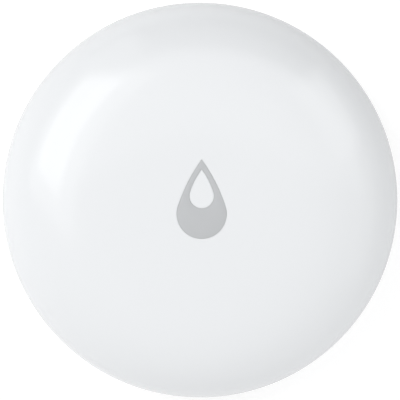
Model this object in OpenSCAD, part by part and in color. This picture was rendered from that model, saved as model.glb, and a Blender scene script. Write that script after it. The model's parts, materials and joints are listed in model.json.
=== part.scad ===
// Water leak sensor: a round puck that lies on the floor and reports water that bridges the two
// metal probes under it. The cap is also its button: pressed at the drop, it slides a little
// way down a sealed collar and clicks a switch on the circuit board.
// Sizes are in millimetres, +Z is up, and the origin is on the floor under the centre.

/* [Body] */
// Diameter at the widest point
body_d = 50; // [48:0.5:60]
// Height from the floor to the top of the crown
body_h = 15; // [14.5:0.1:18]
// Height of the widest point above the floor
equator_z = 5.6; // [5.2:0.1:6.4]
// Flatness of the crown: 2 is an ellipse, more is a flatter top with a tighter shoulder
crown_power = 4; // [3:0.1:6]
// Diameter of the flat underside
base_face_d = 41; // [39:0.5:44]

/* [Base cover] */
// Thickness of the base cover's floor
base_wall = 1.5; // [1.3:0.1:2]
// Height of the base cover's upper rim above the floor
seam_z = 4; // [3.6:0.1:4.4]
// Height of the feet under the flat underside
foot_h = 0.6; // [0.4:0.05:0.8]
// Diameter of a foot
foot_d = 3.6; // [2:0.2:5]
// Number of feet
foot_count = 4; // [3:1:6]
// Distance from the edge of the flat underside to the feet
foot_edge = 1.2; // [0.6:0.1:3]
// Diameter of the shallow label recess
label_d = 21; // [16:0.5:22]
// Depth of the label recess
label_depth = 0.2; // [0.1:0.05:0.4]

/* [Cap] */
// Thickness of the cap at the crown
cap_wall = 1.7; // [1.2:0.1:2]
// Thickness of the cap's skirt, from its bore to the widest point
skirt_wall = 2.6; // [2.2:0.1:3]
// How far the cap moves when it is pressed
cap_travel = 0.3; // [0.2:0.05:0.5]
// Gap left under the cap's rim when it is fully pressed
rim_gap = 0.2; // [0.1:0.05:0.3]
// Radial gap between the cap's bore and the collar that it slides on
slide_gap = 0.06; // [0.03:0.01:0.1]
// Diameter of the post inside the cap that presses the switch
press_post_d = 5; // [3:0.5:6]
// Gap between the post and the switch's plunger at rest
press_gap = 0.03; // [0.02:0.01:0.05]

/* [Cap snaps] */
// Number of snap beads inside the cap's bore
bead_count = 3; // [2:1:4]
// Angle that one snap bead covers
bead_angle = 36; // [20:2:50]
// Height of a snap bead
bead_h = 0.6; // [0.4:0.05:0.8]
// How far a snap bead stands out of the bore
bead_depth = 0.45; // [0.3:0.05:0.6]
// Distance from the cap's rim up to the snap beads
bead_lift = 0.25; // [0.15:0.05:0.4]

/* [Drop mark] */
// Width of the drop
drop_w = 6.3; // [5:0.1:9]
// Height of the drop
drop_h = 10; // [9:0.1:14]
// Radius of the drop's long sides
drop_side_r = 21; // [16:0.5:30]
// Width of the small drop left open inside it
window_w = 3.1; // [2:0.05:4]
// Height of the small drop
window_h = 4.9; // [4:0.1:6]
// Radius of the small drop's long sides
window_side_r = 10; // [8:0.5:16]
// Distance from the drop's tip down to the small drop's tip
window_lead = 1.25; // [0.8:0.05:2]
// Thickness of the inlaid mark
mark_t = 0.4; // [0.2:0.05:0.6]
// Gap round the mark in its pocket
mark_gap = 0.02; // [0.01:0.01:0.05]

/* [Chassis] */
// Thickness of the collar that the cap slides on
collar_wall = 1.8; // [1.6:0.1:2.2]
// Width of the flange inside the collar
flange_w = 2.4; // [1.8:0.1:3]
// Thickness of the flange
flange_t = 1.6; // [1.4:0.1:2]
// Width of the plain bands above and below the seal groove
groove_land = 0.6; // [0.4:0.05:0.8]
// Gap between the chassis and the base cover's wall
nest_gap = 0.15; // [0.1:0.05:0.3]
// Diameter of the posts that carry the circuit board
board_post_d = 4; // [3.4:0.2:5]

/* [Seals] */
// Section of the sliding seal, as squeezed in its groove
cap_seal_d = 1; // [0.8:0.05:1.2]
// Play of the sliding seal along its groove
cap_seal_play = 0.3; // [0.2:0.05:0.4]
// Width of the flat gasket under the chassis
gasket_w = 1.4; // [1:0.1:1.8]
// Distance from the chassis's edge to the flat gasket
gasket_edge = 0.6; // [0.5:0.05:1]
// Thickness of the flat gasket, as squeezed
gasket_t = 0.85; // [0.6:0.05:1]
// Section of the seal under a probe's head, as squeezed
probe_seal_d = 0.75; // [0.6:0.05:0.9]

/* [Probes] */
// Gap between the cell holder and the bosses that the probes screw into
probe_boss_gap = 0.25; // [0.2:0.05:1]
// Height of a probe's tip above the floor
probe_lift = 0.25; // [0.15:0.05:0.35]
// Diameter of a probe's head
probe_head_d = 5.8; // [5:0.1:6.4]
// Height of a probe's head
probe_head_h = 1.3; // [1.1:0.1:1.6]
// Outside diameter of a probe's thread
probe_thread_d = 2.94; // [2.4:0.02:3]
// Pitch of a probe's thread
probe_thread_pitch = 0.5; // [0.4:0.05:0.6]
// Length of a probe below its head
probe_length = 4.3; // [3.8:0.1:4.5]
// Wall of the base cover above a probe's seal
probe_web = 0.7; // [0.6:0.1:1]
// Diameter of the brass inserts that the probes screw into
insert_d = 4.2; // [3.8:0.1:4.6]
// Wall of the chassis bosses round the inserts
insert_boss_wall = 1.1; // [0.9:0.1:1.2]

/* [Power] */
// Diameter of the coin cell
cell_d = 20; // [16:0.5:20.5]
// Height of the coin cell
cell_h = 3.2; // [2.5:0.1:3.4]
// Gap between the base cover's floor and the positive contact
cell_lift = 0.25; // [0.2:0.05:0.4]
// Thickness of the positive contact's sheet
contact_t = 0.3; // [0.2:0.05:0.4]
// Width of the positive contact
contact_w = 5; // [3:0.5:6]
// Height of the sprung negative contact
leaf_h = 0.45; // [0.4:0.05:0.7]
// Thickness of the negative contact's sheet
leaf_t = 0.15; // [0.1:0.01:0.2]
// Wall of the cell holder
holder_wall = 1.2; // [0.8:0.1:1.5]
// Gap between the coin cell and its holder
cell_gap = 0.15; // [0.1:0.05:0.3]

/* [Circuit board] */
// Thickness of the circuit board
board_t = 1; // [0.8:0.1:1.2]
// Gap between the board's edge and the collar
board_gap = 0.34; // [0.2:0.02:0.5]
// Distance from the board's edge to its screws
board_screw_edge = 2.8; // [2.4:0.1:3.2]
// Thread diameter of a board screw
board_screw_d = 1.7; // [1.4:0.1:2]
// Head diameter of a board screw
board_screw_head_d = 3.2; // [2.8:0.1:3.6]
// Head height of a board screw
board_screw_head_h = 1; // [0.8:0.1:1.2]
// Length of a board screw below its head
board_screw_length = 4; // [3:0.2:4.4]

/* [Switch] */
// Width of the square switch
switch_w = 6; // [5.6:0.1:6.5]
// Wall of the switch's body beside its well
switch_wall = 0.6; // [0.4:0.05:0.7]
// Height of the switch's body with its cover
switch_h = 3.5; // [3:0.1:4]
// Thickness of the switch's cover plate
switch_cover_t = 0.25; // [0.2:0.05:0.3]
// Diameter of the plunger
plunger_d = 3.5; // [2.8:0.1:3.8]
// How far the plunger stands out of the cover
plunger_h = 0.8; // [0.7:0.1:1.2]
// Rise of the snap dome under the plunger
dome_rise = 0.55; // [0.5:0.05:0.7]

/* [Hidden] */
$fn = 96;
eps = 0.01;

// Clearances that several pieces share: a snug fit, a stop that just clears, and free air
fit_gap = 0.02;
stop_gap = 0.03;
free_gap = 0.3;
// How far a bead or post runs into the wall that it grows out of
root = 0.4;
// How far a cutting shape runs past the surface that it cuts
over = 1;

// Outline of the whole puck
body_r = body_d / 2;
base_face_r = base_face_d / 2;
crown_h = body_h - equator_z;
crown_steps = 30;
crown_flat_r = 1.5;
side_steps = 8;
side_bias = 1.6;
rim_chamfer = 0.25;

// Heights of the stack, from the floor up; the board clears the cell's leaf and the probes' tips
base_floor_z = foot_h + base_wall;
cell_z = base_floor_z + cell_lift + contact_t;
cell_top_z = cell_z + cell_h;
probe_seat_z = probe_lift + probe_head_h;
probe_tip_z = probe_seat_z + probe_length;
probe_tip_gap = 0.3;
board_z = max(cell_top_z + leaf_h, probe_tip_z + probe_tip_gap);
board_top_z = board_z + board_t;
switch_top_z = board_top_z + switch_h;
plunger_top_z = switch_top_z + plunger_h;
crown_in_z = body_h - cap_wall;

// Cap and the collar it slides on
cap_rim_z = seam_z + rim_gap + cap_travel;
bore_r = body_r - skirt_wall;
collar_r = bore_r - slide_gap;
collar_in_r = collar_r - collar_wall;
bead_z = cap_rim_z + bead_lift;
pocket_top_z = bead_z + bead_h + stop_gap;
pocket_z = bead_z - cap_travel - rim_gap;
pocket_r = bore_r - bead_depth - rim_gap;
pocket_side_angle = 1;
groove_z = pocket_top_z + groove_land;
groove_w = cap_seal_d + cap_seal_play;
groove_r = bore_r - fit_gap - cap_seal_d - fit_gap;
collar_top_z = groove_z + groove_w + groove_land;
bore_top_z = collar_top_z + cap_travel + free_gap;
cap_seal_z = groove_z + groove_w / 2;
cap_seal_r = groove_r + fit_gap + cap_seal_d / 2;

// Chassis and gasket
chassis_lift = 0.05;
chassis_z = base_floor_z + chassis_lift;
flange_in_r = collar_in_r - flange_w;
gasket_r = collar_r - gasket_edge - gasket_w / 2;
base_nest_r = collar_r + nest_gap;

// Cell holder and contacts
cell_r = cell_d / 2;
holder_r = cell_r + cell_gap;
holder_out_r = holder_r + holder_wall;
holder_nib_reach = 0.6;
holder_nib_inset = 0.2;
holder_nib_angle = 24;
holder_nib_angles = [240, 300];
contact_gap = 0.2;
contact_leg_y = cell_r + contact_gap;
contact_hook = 3.3;
contact_foot = 1.7;
leaf_w = 4;
leaf_foot_edge = 1.4;
leaf_foot_l = 3.2;

// Probes, their seals and inserts
probe_head_edge = 0.45;
probe_head_gap = 0.3;
probe_shank_gap = 0.12;
thread_depth = 0.275;
cross_w = 0.8;
cross_l = 3.2;
cross_depth = 0.7;
probe_seal_top_z = probe_seat_z + probe_seal_d;
probe_seal_r = probe_thread_d / 2 + probe_shank_gap + probe_seal_d / 2;
seal_recess_r = probe_seal_r + probe_seal_d / 2 + fit_gap;
insert_z = max(base_floor_z, probe_seal_top_z + probe_web);
base_boss_wall = 0.5;
base_boss_r = seal_recess_r + base_boss_wall;
insert_boss_r = insert_d / 2 + insert_boss_wall;
insert_web_w = 4;
probe_x = holder_out_r + probe_boss_gap + insert_boss_r;
probe_xs = [-probe_x, probe_x];

// Board, board screws and posts
board_r = collar_in_r - board_gap;
board_screw_r = board_r - board_screw_edge;
board_screw_angles = [45, 135, 270];
board_hole_gap = 0.15;
board_slot_w = 0.4;

// Switch parts
well_r = switch_w / 2 - switch_wall;
well_floor_h = 0.8;
dome_t = 0.12;
plunger_flange_h = 0.6;
plunger_flange_gap = 0.1;
plunger_flange_r = well_r - plunger_flange_gap;
terminal_w = 0.8;
terminal_t = 0.2;
terminal_reach = 1.4;
terminal_lift = 0.9;
terminal_inset = 0.75;
terminal_y = switch_w / 2 - terminal_inset;

// Small parts on the board, by their centres
radio_at = [10.4, 3.6];
radio_size = [6, 6, 0.9];
memory_at = [10.6, -5.4];
memory_size = [4.9, 3.9, 1.5];
memory_lead_pitch = 1.27;
crystal_at = [5.2, 9.2];
crystal_size = [3.2, 2.5, 0.7];
antenna_edge = 4.4;
antenna_size = [14, 1.2, 3];
antenna_t = 0.3;
antenna_leg_xs = [-6.4, -3.4];
led_at = [0, -9.5];
led_size = [2, 1.3, 0.7];
led_gap = 0.1;
guide_d = 2.6;
guide_foot_d = 4.6;
guide_foot_h = 1.6;
capacitor_size = [1.6, 0.8, 0.8];
capacitor_at = [-9, -3.9];
capacitor_pitch = [-2.6, 2.2];
capacitor_grid = [2, 4];
resistor_size = [1.6, 0.8, 0.45];
resistor_at = [-3.4, 6.4];
resistor_pitch = [-2.4, 1.6];
resistor_grid = [3, 2];

// Radius of the puck's lower side at a height: a quarter ellipse from the flat underside to the equator
function side_r(z) =
    base_face_r + (body_r - base_face_r) * sqrt(1 - pow((equator_z - z) / (equator_z - foot_h), 2));

// Points up the lower side between two heights, closer together towards the underside
function side_points(z_from, z_to) =
    [for (i = [0 : side_steps])
        let (z = z_from + (z_to - z_from) * pow(i / side_steps, side_bias)) [side_r(z), z]];

// Points of a domed profile from its rim in to its axis, with a small flat at the very top
function dome_points(r, z, rise) = concat(
    [for (i = [crown_steps : -1 : 1])
        let (t = 90 * i / crown_steps) [r * pow(sin(t), 2 / crown_power), z + rise * cos(t)]],
    [[crown_flat_r, z + rise], [0, z + rise]]
);

// Height of the inside of the cap at a radius
function inside_z(r) =
    bore_top_z + (crown_in_z - bore_top_z) * sqrt(1 - pow(r / bore_r, crown_power));

// Outline of a drop: a round lobe and two long arcs that meet in a tip, grown outwards by a margin.
// The lobe's centre is at the origin and the tip points along +Y.
function drop_points(w, h, side, grow) =
    let (
        lobe = w / 2,
        tip = h - lobe,
        reach = side - lobe,
        turn = asin((tip * tip - lobe * lobe - 2 * reach * lobe) / (2 * tip * reach)),
        cx = reach * cos(turn),
        cy = reach * sin(turn),
        a_tip = 180 - acos(cx / (side + grow)),
        a_join = 180 + turn,
        side_n = 8,
        lobe_n = 28
    )
    concat(
        [for (i = [0 : side_n - 1]) let (a = a_tip + (a_join - a_tip) * i / side_n)
            [cx + (side + grow) * cos(a), cy + (side + grow) * sin(a)]],
        [for (i = [0 : lobe_n]) let (a = a_join + (180 - 2 * turn) * i / lobe_n)
            [(lobe + grow) * cos(a), (lobe + grow) * sin(a)]],
        [for (i = [side_n - 1 : -1 : 1]) let (a = a_tip + (a_join - a_tip) * i / side_n)
            [-cx - (side + grow) * cos(a), cy + (side + grow) * sin(a)]]
    );

// Ring of rectangular section
module ring(r_in, r_out, z, h) {
    rotate_extrude()
        translate([r_in, z]) square([r_out - r_in, h]);
}

// Ring of round section
module round_ring(r, d, z) {
    rotate_extrude()
        translate([r, z]) circle(d = d);
}

// Profile turned through part of a circle, centred on an angle
module sector(angle, middle) {
    rotate([0, 0, middle - angle / 2])
        rotate_extrude(angle = angle)
            children();
}

// Block that stands on a height, centred in plan
module block(at, size, z) {
    translate([at[0] - size[0] / 2, at[1] - size[1] / 2, z]) cube(size);
}

// Grid of equal blocks on the circuit board
module block_grid(at, pitch, grid, size) {
    for (i = [0 : grid[0] - 1], j = [0 : grid[1] - 1])
        block([at[0] + i * pitch[0], at[1] + j * pitch[1]], size, board_top_z);
}

// Full outside of the cap, with no hollow
module cap_outside() {
    rotate_extrude()
        polygon(concat(
            [[0, cap_rim_z], [side_r(cap_rim_z) - rim_chamfer, cap_rim_z]],
            [for (p = side_points(cap_rim_z + rim_chamfer, equator_z)) if (p[1] < equator_z - eps) p],
            dome_points(body_r, equator_z, crown_h)
        ));
}

// Hollow of the cap: a straight bore with a domed end
module cap_hollow() {
    rotate_extrude()
        polygon(concat(
            [[0, cap_rim_z - over], [bore_r, cap_rim_z - over]],
            dome_points(bore_r, bore_top_z, crown_in_z - bore_top_z)
        ));
}

// Plan of the mark: a drop with a small drop left open in it. The margin grows the grey area.
module mark_plan(grow) {
    translate([0, (drop_w - drop_h) / 2])
        difference() {
            polygon(drop_points(drop_w, drop_h, drop_side_r, grow));
            translate([0, drop_h - drop_w / 2 - window_lead - window_h + window_w / 2])
                polygon(drop_points(window_w, window_h, window_side_r, -grow));
        }
}

// Snap bead inside the cap's bore, with a slope that lets the cap be pushed on
module snap_bead(middle) {
    sector(bead_angle, middle)
        polygon([
            [bore_r + root, bead_z],
            [bore_r, bead_z],
            [bore_r - bead_depth, bead_z + bead_h / 2],
            [bore_r - bead_depth, bead_z + bead_h],
            [bore_r + root, bead_z + bead_h]
        ]);
}

// Domed outer shell, pressed at its middle
module cap() {
    post_z = plunger_top_z + press_gap;
    color("whitesmoke")
        difference() {
            union() {
                difference() {
                    cap_outside();
                    cap_hollow();
                }
                for (i = [0 : bead_count - 1])
                    snap_bead(90 + 360 * i / bead_count);
                translate([0, 0, post_z])
                    cylinder(d = press_post_d, h = crown_in_z + root - post_z);
            }
            translate([0, 0, body_h - mark_t])
                linear_extrude(mark_t + over) mark_plan(mark_gap);
        }
}

// Grey drop let into the crown, flush with it
module drop_mark() {
    color("silver")
        intersection() {
            cap_outside();
            translate([0, 0, body_h - mark_t])
                linear_extrude(mark_t + over) mark_plan(0);
        }
}

// Round dish that closes the puck from below
module base_cover() {
    foot_reach = base_face_r - foot_edge - foot_d / 2;
    color("white")
        difference() {
            union() {
                rotate_extrude()
                    polygon(concat(
                        [[0, foot_h]],
                        side_points(foot_h, seam_z - rim_chamfer),
                        [
                            [side_r(seam_z) - rim_chamfer, seam_z],
                            [base_nest_r, seam_z],
                            [base_nest_r, base_floor_z],
                            [0, base_floor_z]
                        ]
                    ));
                for (i = [0 : foot_count - 1])
                    rotate([0, 0, 360 * (i + 0.5) / foot_count])
                        translate([foot_reach, 0, 0]) cylinder(d = foot_d, h = foot_h + root);
                for (x = probe_xs)
                    translate([x, 0, base_floor_z - root])
                        cylinder(r = base_boss_r, h = insert_z - base_floor_z + root);
            }
            translate([0, 0, foot_h - over])
                cylinder(d = label_d, h = label_depth + over);
            for (x = probe_xs)
                translate([x, 0, 0]) {
                    cylinder(r = probe_head_d / 2 + probe_head_gap, h = probe_seat_z);
                    cylinder(r = seal_recess_r, h = probe_seal_top_z);
                    cylinder(r = probe_thread_d / 2 + probe_shank_gap, h = insert_z + over);
                }
        }
}

// Flat silicone ring between the base cover and the chassis
module base_gasket() {
    color("gainsboro")
        ring(gasket_r - gasket_w / 2, gasket_r + gasket_w / 2, base_floor_z, gasket_t);
}

// Inner frame: a collar for the cap, a flange for the gasket, and posts for the board and the inserts
module chassis() {
    insert_boss_z = insert_z + chassis_lift;
    color("ghostwhite")
        difference() {
            union() {
                ring(collar_in_r, collar_r, chassis_z, collar_top_z - chassis_z);
                ring(flange_in_r, collar_in_r + collar_wall / 2, chassis_z, flange_t);
                for (a = board_screw_angles)
                    rotate([0, 0, a]) translate([board_screw_r, 0, chassis_z])
                        cylinder(d = board_post_d, h = board_z - chassis_z);
                for (x = probe_xs) {
                    translate([x, 0, insert_boss_z])
                        cylinder(r = insert_boss_r, h = board_z - insert_boss_z);
                    translate([x > 0 ? x : -collar_in_r - collar_wall / 2, -insert_web_w / 2, insert_boss_z])
                        cube([collar_in_r + collar_wall / 2 - abs(x), insert_web_w, board_z - insert_boss_z]);
                }
            }
            ring(gasket_r - gasket_w / 2 - fit_gap, gasket_r + gasket_w / 2 + fit_gap, base_floor_z,
                gasket_t + fit_gap);
            ring(groove_r, collar_r + over, groove_z, groove_w);
            for (i = [0 : bead_count - 1])
                sector(bead_angle + 2 * pocket_side_angle, 90 + 360 * i / bead_count)
                    translate([pocket_r, pocket_z])
                        square([collar_r + over - pocket_r, pocket_top_z - pocket_z]);
            for (a = board_screw_angles)
                rotate([0, 0, a]) translate([board_screw_r, 0, board_top_z - board_screw_length - free_gap])
                    cylinder(d = board_screw_d + 2 * fit_gap, h = board_screw_length + free_gap);
            for (x = probe_xs) {
                translate([x, 0, base_floor_z])
                    cylinder(r = base_boss_r + nest_gap, h = insert_boss_z - base_floor_z);
                translate([x, 0, insert_z])
                    cylinder(d = insert_d + 2 * fit_gap, h = board_z - insert_z + over);
            }
        }
}

// Silicone ring that seals the cap's bore while it slides
module cap_seal() {
    color("gainsboro")
        round_ring(cap_seal_r, cap_seal_d, cap_seal_z);
}

// Steel screw whose domed head is the probe; its thread is drawn as plain rings
module probe_screw(x) {
    thread_n = floor((probe_tip_z - insert_z) / probe_thread_pitch);
    thread_z = probe_tip_z - thread_n * probe_thread_pitch;
    head_r = probe_head_d / 2;
    dome_h = probe_head_h - probe_head_edge;
    color("lightsteelblue")
        translate([x, 0, 0])
            difference() {
                rotate_extrude()
                    polygon(concat(
                        [for (i = [0 : 6]) let (t = 90 * i / 6)
                            [head_r * sin(t), probe_lift + dome_h * (1 - cos(t))]],
                        [
                            [head_r, probe_seat_z],
                            [probe_thread_d / 2, probe_seat_z],
                            [probe_thread_d / 2, thread_z]
                        ],
                        [for (i = [0 : thread_n - 1], k = [1, 2])
                            [probe_thread_d / 2 - (k == 1 ? thread_depth : 0),
                                thread_z + (i + k / 2) * probe_thread_pitch]],
                        [[0, probe_tip_z]]
                    ));
                for (a = [45, 135])
                    rotate([0, 0, a])
                        translate([-cross_l / 2, -cross_w / 2, 0])
                            cube([cross_l, cross_w, probe_lift + cross_depth]);
            }
}

// Silicone ring under a probe's head
module probe_seal(x) {
    color("dimgray")
        translate([x, 0, 0])
            round_ring(probe_seal_r, probe_seal_d - fit_gap, probe_seat_z + probe_seal_d / 2);
}

// Brass insert that joins a probe to the board
module probe_insert(x) {
    groove_h = 0.6;
    groove_depth = 0.25;
    middle_z = (insert_z + board_z) / 2;
    color("goldenrod")
        translate([x, 0, 0])
            difference() {
                ring(probe_thread_d / 2 + stop_gap, insert_d / 2, insert_z, board_z - insert_z);
                ring(insert_d / 2 - groove_depth, insert_d, middle_z - groove_h / 2, groove_h);
            }
}

// Round circuit board on the chassis posts
module circuit_board() {
    color("darkgreen")
        difference() {
            translate([0, 0, board_z]) cylinder(r = board_r, h = board_t);
            for (a = board_screw_angles)
                rotate([0, 0, a]) translate([board_screw_r, 0, board_z - over])
                    cylinder(d = board_screw_d + 2 * board_hole_gap, h = board_t + 2 * over);
        }
}

// Small screws that hold the board to the chassis
module board_screws() {
    color("lightgray")
        for (a = board_screw_angles)
            rotate([0, 0, a]) translate([board_screw_r, 0, board_top_z])
                difference() {
                    union() {
                        cylinder(d = board_screw_head_d, h = board_screw_head_h);
                        translate([0, 0, -board_screw_length])
                            cylinder(d = board_screw_d, h = board_screw_length + board_screw_head_h / 2);
                    }
                    for (turn = [0, 90])
                        rotate([0, 0, turn])
                            translate([-board_screw_d / 2, -board_slot_w / 2, board_screw_head_h / 2])
                                cube([board_screw_d, board_slot_w, board_screw_head_h]);
                }
}

// Lithium coin cell, its wide positive can down and its narrow negative lid up
module coin_cell() {
    edge = 0.3;
    lid_slope = 0.15;
    lid_step = 0.35;
    lid_inset = 1.1;
    crimp_h = cell_h - lid_step;
    lid_r = cell_r - lid_inset;
    color("silver")
        rotate_extrude()
            polygon([
                [0, cell_z],
                [cell_r - edge, cell_z],
                [cell_r, cell_z + edge],
                [cell_r, cell_z + crimp_h - edge],
                [cell_r - edge, cell_z + crimp_h],
                [lid_r + lid_slope, cell_z + crimp_h],
                [lid_r, cell_top_z],
                [0, cell_top_z]
            ]);
}

// Nib of the cell holder that hooks under the coin cell's edge
module holder_nib(middle) {
    low_z = base_floor_z + chassis_lift;
    shelf_z = cell_z - fit_gap;
    sector(holder_nib_angle, middle)
        polygon([
            [cell_r - holder_nib_reach, low_z],
            [holder_out_r - holder_nib_inset, low_z],
            [holder_out_r - holder_nib_inset, cell_z + root],
            [holder_r + holder_nib_inset, cell_z + root],
            [holder_r + holder_nib_inset, shelf_z],
            [cell_r - holder_nib_reach, shelf_z]
        ]);
}

// Plastic ring under the board that takes the coin cell from below
module cell_holder() {
    color("darkslategray")
        difference() {
            union() {
                ring(holder_r, holder_out_r, cell_z, board_z - cell_z);
                for (a = holder_nib_angles)
                    holder_nib(a);
            }
            translate([-contact_w / 2 - free_gap, 0, cell_z - over])
                cube([contact_w + 2 * free_gap, cell_d, board_z - cell_z + 2 * over]);
        }
}

// Bent strip that hooks under the coin cell and is soldered to the board
module positive_contact() {
    leg_in = contact_leg_y;
    leg_out = contact_leg_y + contact_t;
    color("lightgray")
        translate([contact_w / 2, 0, 0])
            rotate([90, 0, -90])
                linear_extrude(contact_w)
                    polygon([
                        [-(leg_out - contact_hook), cell_z - contact_t],
                        [-leg_out, cell_z - contact_t],
                        [-leg_out, board_z - contact_t],
                        [-(leg_out + contact_foot), board_z - contact_t],
                        [-(leg_out + contact_foot), board_z],
                        [-leg_in, board_z],
                        [-leg_in, cell_z],
                        [-(leg_out - contact_hook), cell_z]
                    ]);
}

// Sprung leaf that presses on the coin cell's lid
module negative_contact() {
    foot_from = leaf_foot_edge - cell_r;
    foot_to = foot_from + leaf_foot_l;
    touch = 0.6;
    end = 2.2;
    low_z = cell_top_z + fit_gap;
    end_z = low_z + leaf_h / 3;
    color("lightgray")
        translate([0, leaf_w / 2, 0])
            rotate([90, 0, 0])
                linear_extrude(leaf_w)
                    polygon([
                        [foot_from, board_z], [foot_to, board_z],
                        [-touch, low_z + leaf_t], [touch, low_z + leaf_t], [end, end_z + leaf_t],
                        [end, end_z], [touch, low_z], [-touch, low_z],
                        [foot_to, board_z - leaf_t], [foot_from, board_z - leaf_t]
                    ]);
}

// Square body of the push switch, with the well for its dome and plunger
module switch_body() {
    shell_h = switch_h - switch_cover_t;
    color("dimgray")
        difference() {
            block([0, 0], [switch_w, switch_w, shell_h], board_top_z);
            translate([0, 0, board_top_z + well_floor_h]) cylinder(r = well_r, h = shell_h);
        }
}

// Steel plate that keeps the plunger in the switch
module switch_cover() {
    color("lightgray")
        difference() {
            block([0, 0], [switch_w, switch_w, switch_cover_t], switch_top_z - switch_cover_t);
            translate([0, 0, switch_top_z - over])
                cylinder(d = plunger_d + 2 * slide_gap, h = 2 * over);
        }
}

// Bent legs that solder the switch to the board
module switch_terminals() {
    side = switch_w / 2;
    reach = side + terminal_reach;
    bend = side + terminal_reach / 2;
    color("lightgray")
        for (sx = [0, 180], y = [-terminal_y, terminal_y])
            rotate([0, 0, sx])
                translate([0, y + terminal_w / 2, board_top_z])
                    rotate([90, 0, 0])
                        linear_extrude(terminal_w)
                            polygon([
                                [side, terminal_lift], [bend, terminal_lift],
                                [bend, terminal_t], [reach, terminal_t], [reach, 0],
                                [bend - terminal_t, 0], [bend - terminal_t, terminal_lift - terminal_t],
                                [side, terminal_lift - terminal_t]
                            ]);
}

// Thin steel dome that clicks and pushes the plunger back up
module snap_dome() {
    z = board_top_z + well_floor_h;
    r = well_r - slide_gap;
    top_r = 0.6;
    knee_inset = 0.7;
    knee_drop = 0.2;
    knee_r = r - knee_inset;
    knee_z = z + dome_rise - knee_drop;
    color("silver")
        rotate_extrude()
            polygon([
                [r, z], [knee_r, knee_z], [top_r, z + dome_rise], [0, z + dome_rise],
                [0, z + dome_rise - dome_t], [top_r, z + dome_rise - dome_t],
                [knee_r, knee_z - dome_t], [r - dome_t, z]
            ]);
}

// Round plunger of the switch, kept in by its flange
module switch_plunger() {
    z = board_top_z + well_floor_h + dome_rise + stop_gap;
    flange_top_z = switch_top_z - switch_cover_t - stop_gap;
    color("black") {
        translate([0, 0, z]) cylinder(d = plunger_d, h = plunger_top_z - z);
        translate([0, 0, flange_top_z - plunger_flange_h])
            cylinder(r = plunger_flange_r, h = plunger_flange_h);
    }
}

// Radio and processor in a flat package with a dot at its first corner
module radio_chip() {
    dot_in = 1;
    dot_d = 0.8;
    dot_depth = 0.1;
    color("black")
        difference() {
            block(radio_at, radio_size, board_top_z);
            translate([radio_at[0] - radio_size[0] / 2 + dot_in, radio_at[1] + radio_size[1] / 2 - dot_in,
                board_top_z + radio_size[2] - dot_depth])
                cylinder(d = dot_d, h = dot_depth + over);
        }
}

// Memory chip with a row of bent leads on each side
module memory_chip() {
    lead = [0.4, 1, 0.25];
    color("black") {
        block(memory_at, memory_size, board_top_z);
        for (i = [-1.5 : 1 : 1.5], s = [-1, 1])
            block([memory_at[0] + i * memory_lead_pitch, memory_at[1] + s * memory_size[1] / 2],
                lead, board_top_z);
    }
}

// Crystal in a metal case on a ceramic foot
module crystal() {
    lid_in = 0.3;
    foot_share = 0.4;
    color("silver") {
        block(crystal_at, [crystal_size[0], crystal_size[1], crystal_size[2] * foot_share], board_top_z);
        block(crystal_at, [crystal_size[0] - lid_in, crystal_size[1] - lid_in, crystal_size[2]], board_top_z);
    }
}

// Stamped aerial: a strip held over the board on two legs
module antenna() {
    y = board_r - antenna_edge;
    color("gold") {
        block([0, y], [antenna_size[0], antenna_size[1], antenna_t],
            board_top_z + antenna_size[2] - antenna_t);
        for (x = antenna_leg_xs)
            block([x, y], [antenna_size[1], antenna_t, antenna_size[2]], board_top_z);
    }
}

// Status light on the board
module status_led() {
    lens_in = 0.3;
    color("lightyellow") {
        block(led_at, [led_size[0], led_size[1], led_size[2] / 2], board_top_z);
        block(led_at, [led_size[0] - 2 * lens_in, led_size[1], led_size[2]], board_top_z);
    }
}

// Clear post that carries the status light up to the cap
module light_guide() {
    top_z = inside_z(norm(led_at) + guide_d / 2) - cap_travel - free_gap;
    color("aliceblue")
        translate([led_at[0], led_at[1], board_top_z])
            difference() {
                union() {
                    cylinder(d = guide_foot_d, h = guide_foot_h);
                    cylinder(d = guide_d, h = top_z - board_top_z);
                }
                block([0, 0], [led_size[0] + free_gap, led_size[1] + free_gap, led_size[2] + led_gap + over],
                    -over);
            }
}

// Small capacitors beside the switch
module chip_capacitors() {
    color("tan")
        block_grid(capacitor_at, capacitor_pitch, capacitor_grid, capacitor_size);
}

// Small resistors near the aerial
module chip_resistors() {
    color("black")
        block_grid(resistor_at, resistor_pitch, resistor_grid, resistor_size);
}

cap();
drop_mark();
base_cover();
base_gasket();
chassis();
cap_seal();
probe_screw(probe_xs[0]);  // probe_screw_left
probe_screw(probe_xs[1]);  // probe_screw_right
probe_seal(probe_xs[0]);  // probe_seal_left
probe_seal(probe_xs[1]);  // probe_seal_right
probe_insert(probe_xs[0]);  // probe_insert_left
probe_insert(probe_xs[1]);  // probe_insert_right
circuit_board();
board_screws();
coin_cell();
cell_holder();
positive_contact();
negative_contact();
switch_body();
switch_cover();
switch_terminals();
snap_dome();
switch_plunger();
radio_chip();
memory_chip();
crystal();
antenna();
status_led();
light_guide();
chip_capacitors();
chip_resistors();
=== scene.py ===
"""Dresses the water leak sensor: a white domed puck with a grey drop let into its cap.

Sizes are in metres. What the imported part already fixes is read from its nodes' boxes.
"""

import json
import logging
import math
from dataclasses import dataclass, field
from enum import Enum
from typing import Iterable, Sequence

import bmesh
import bpy
from mathutils import Matrix, Vector

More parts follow.
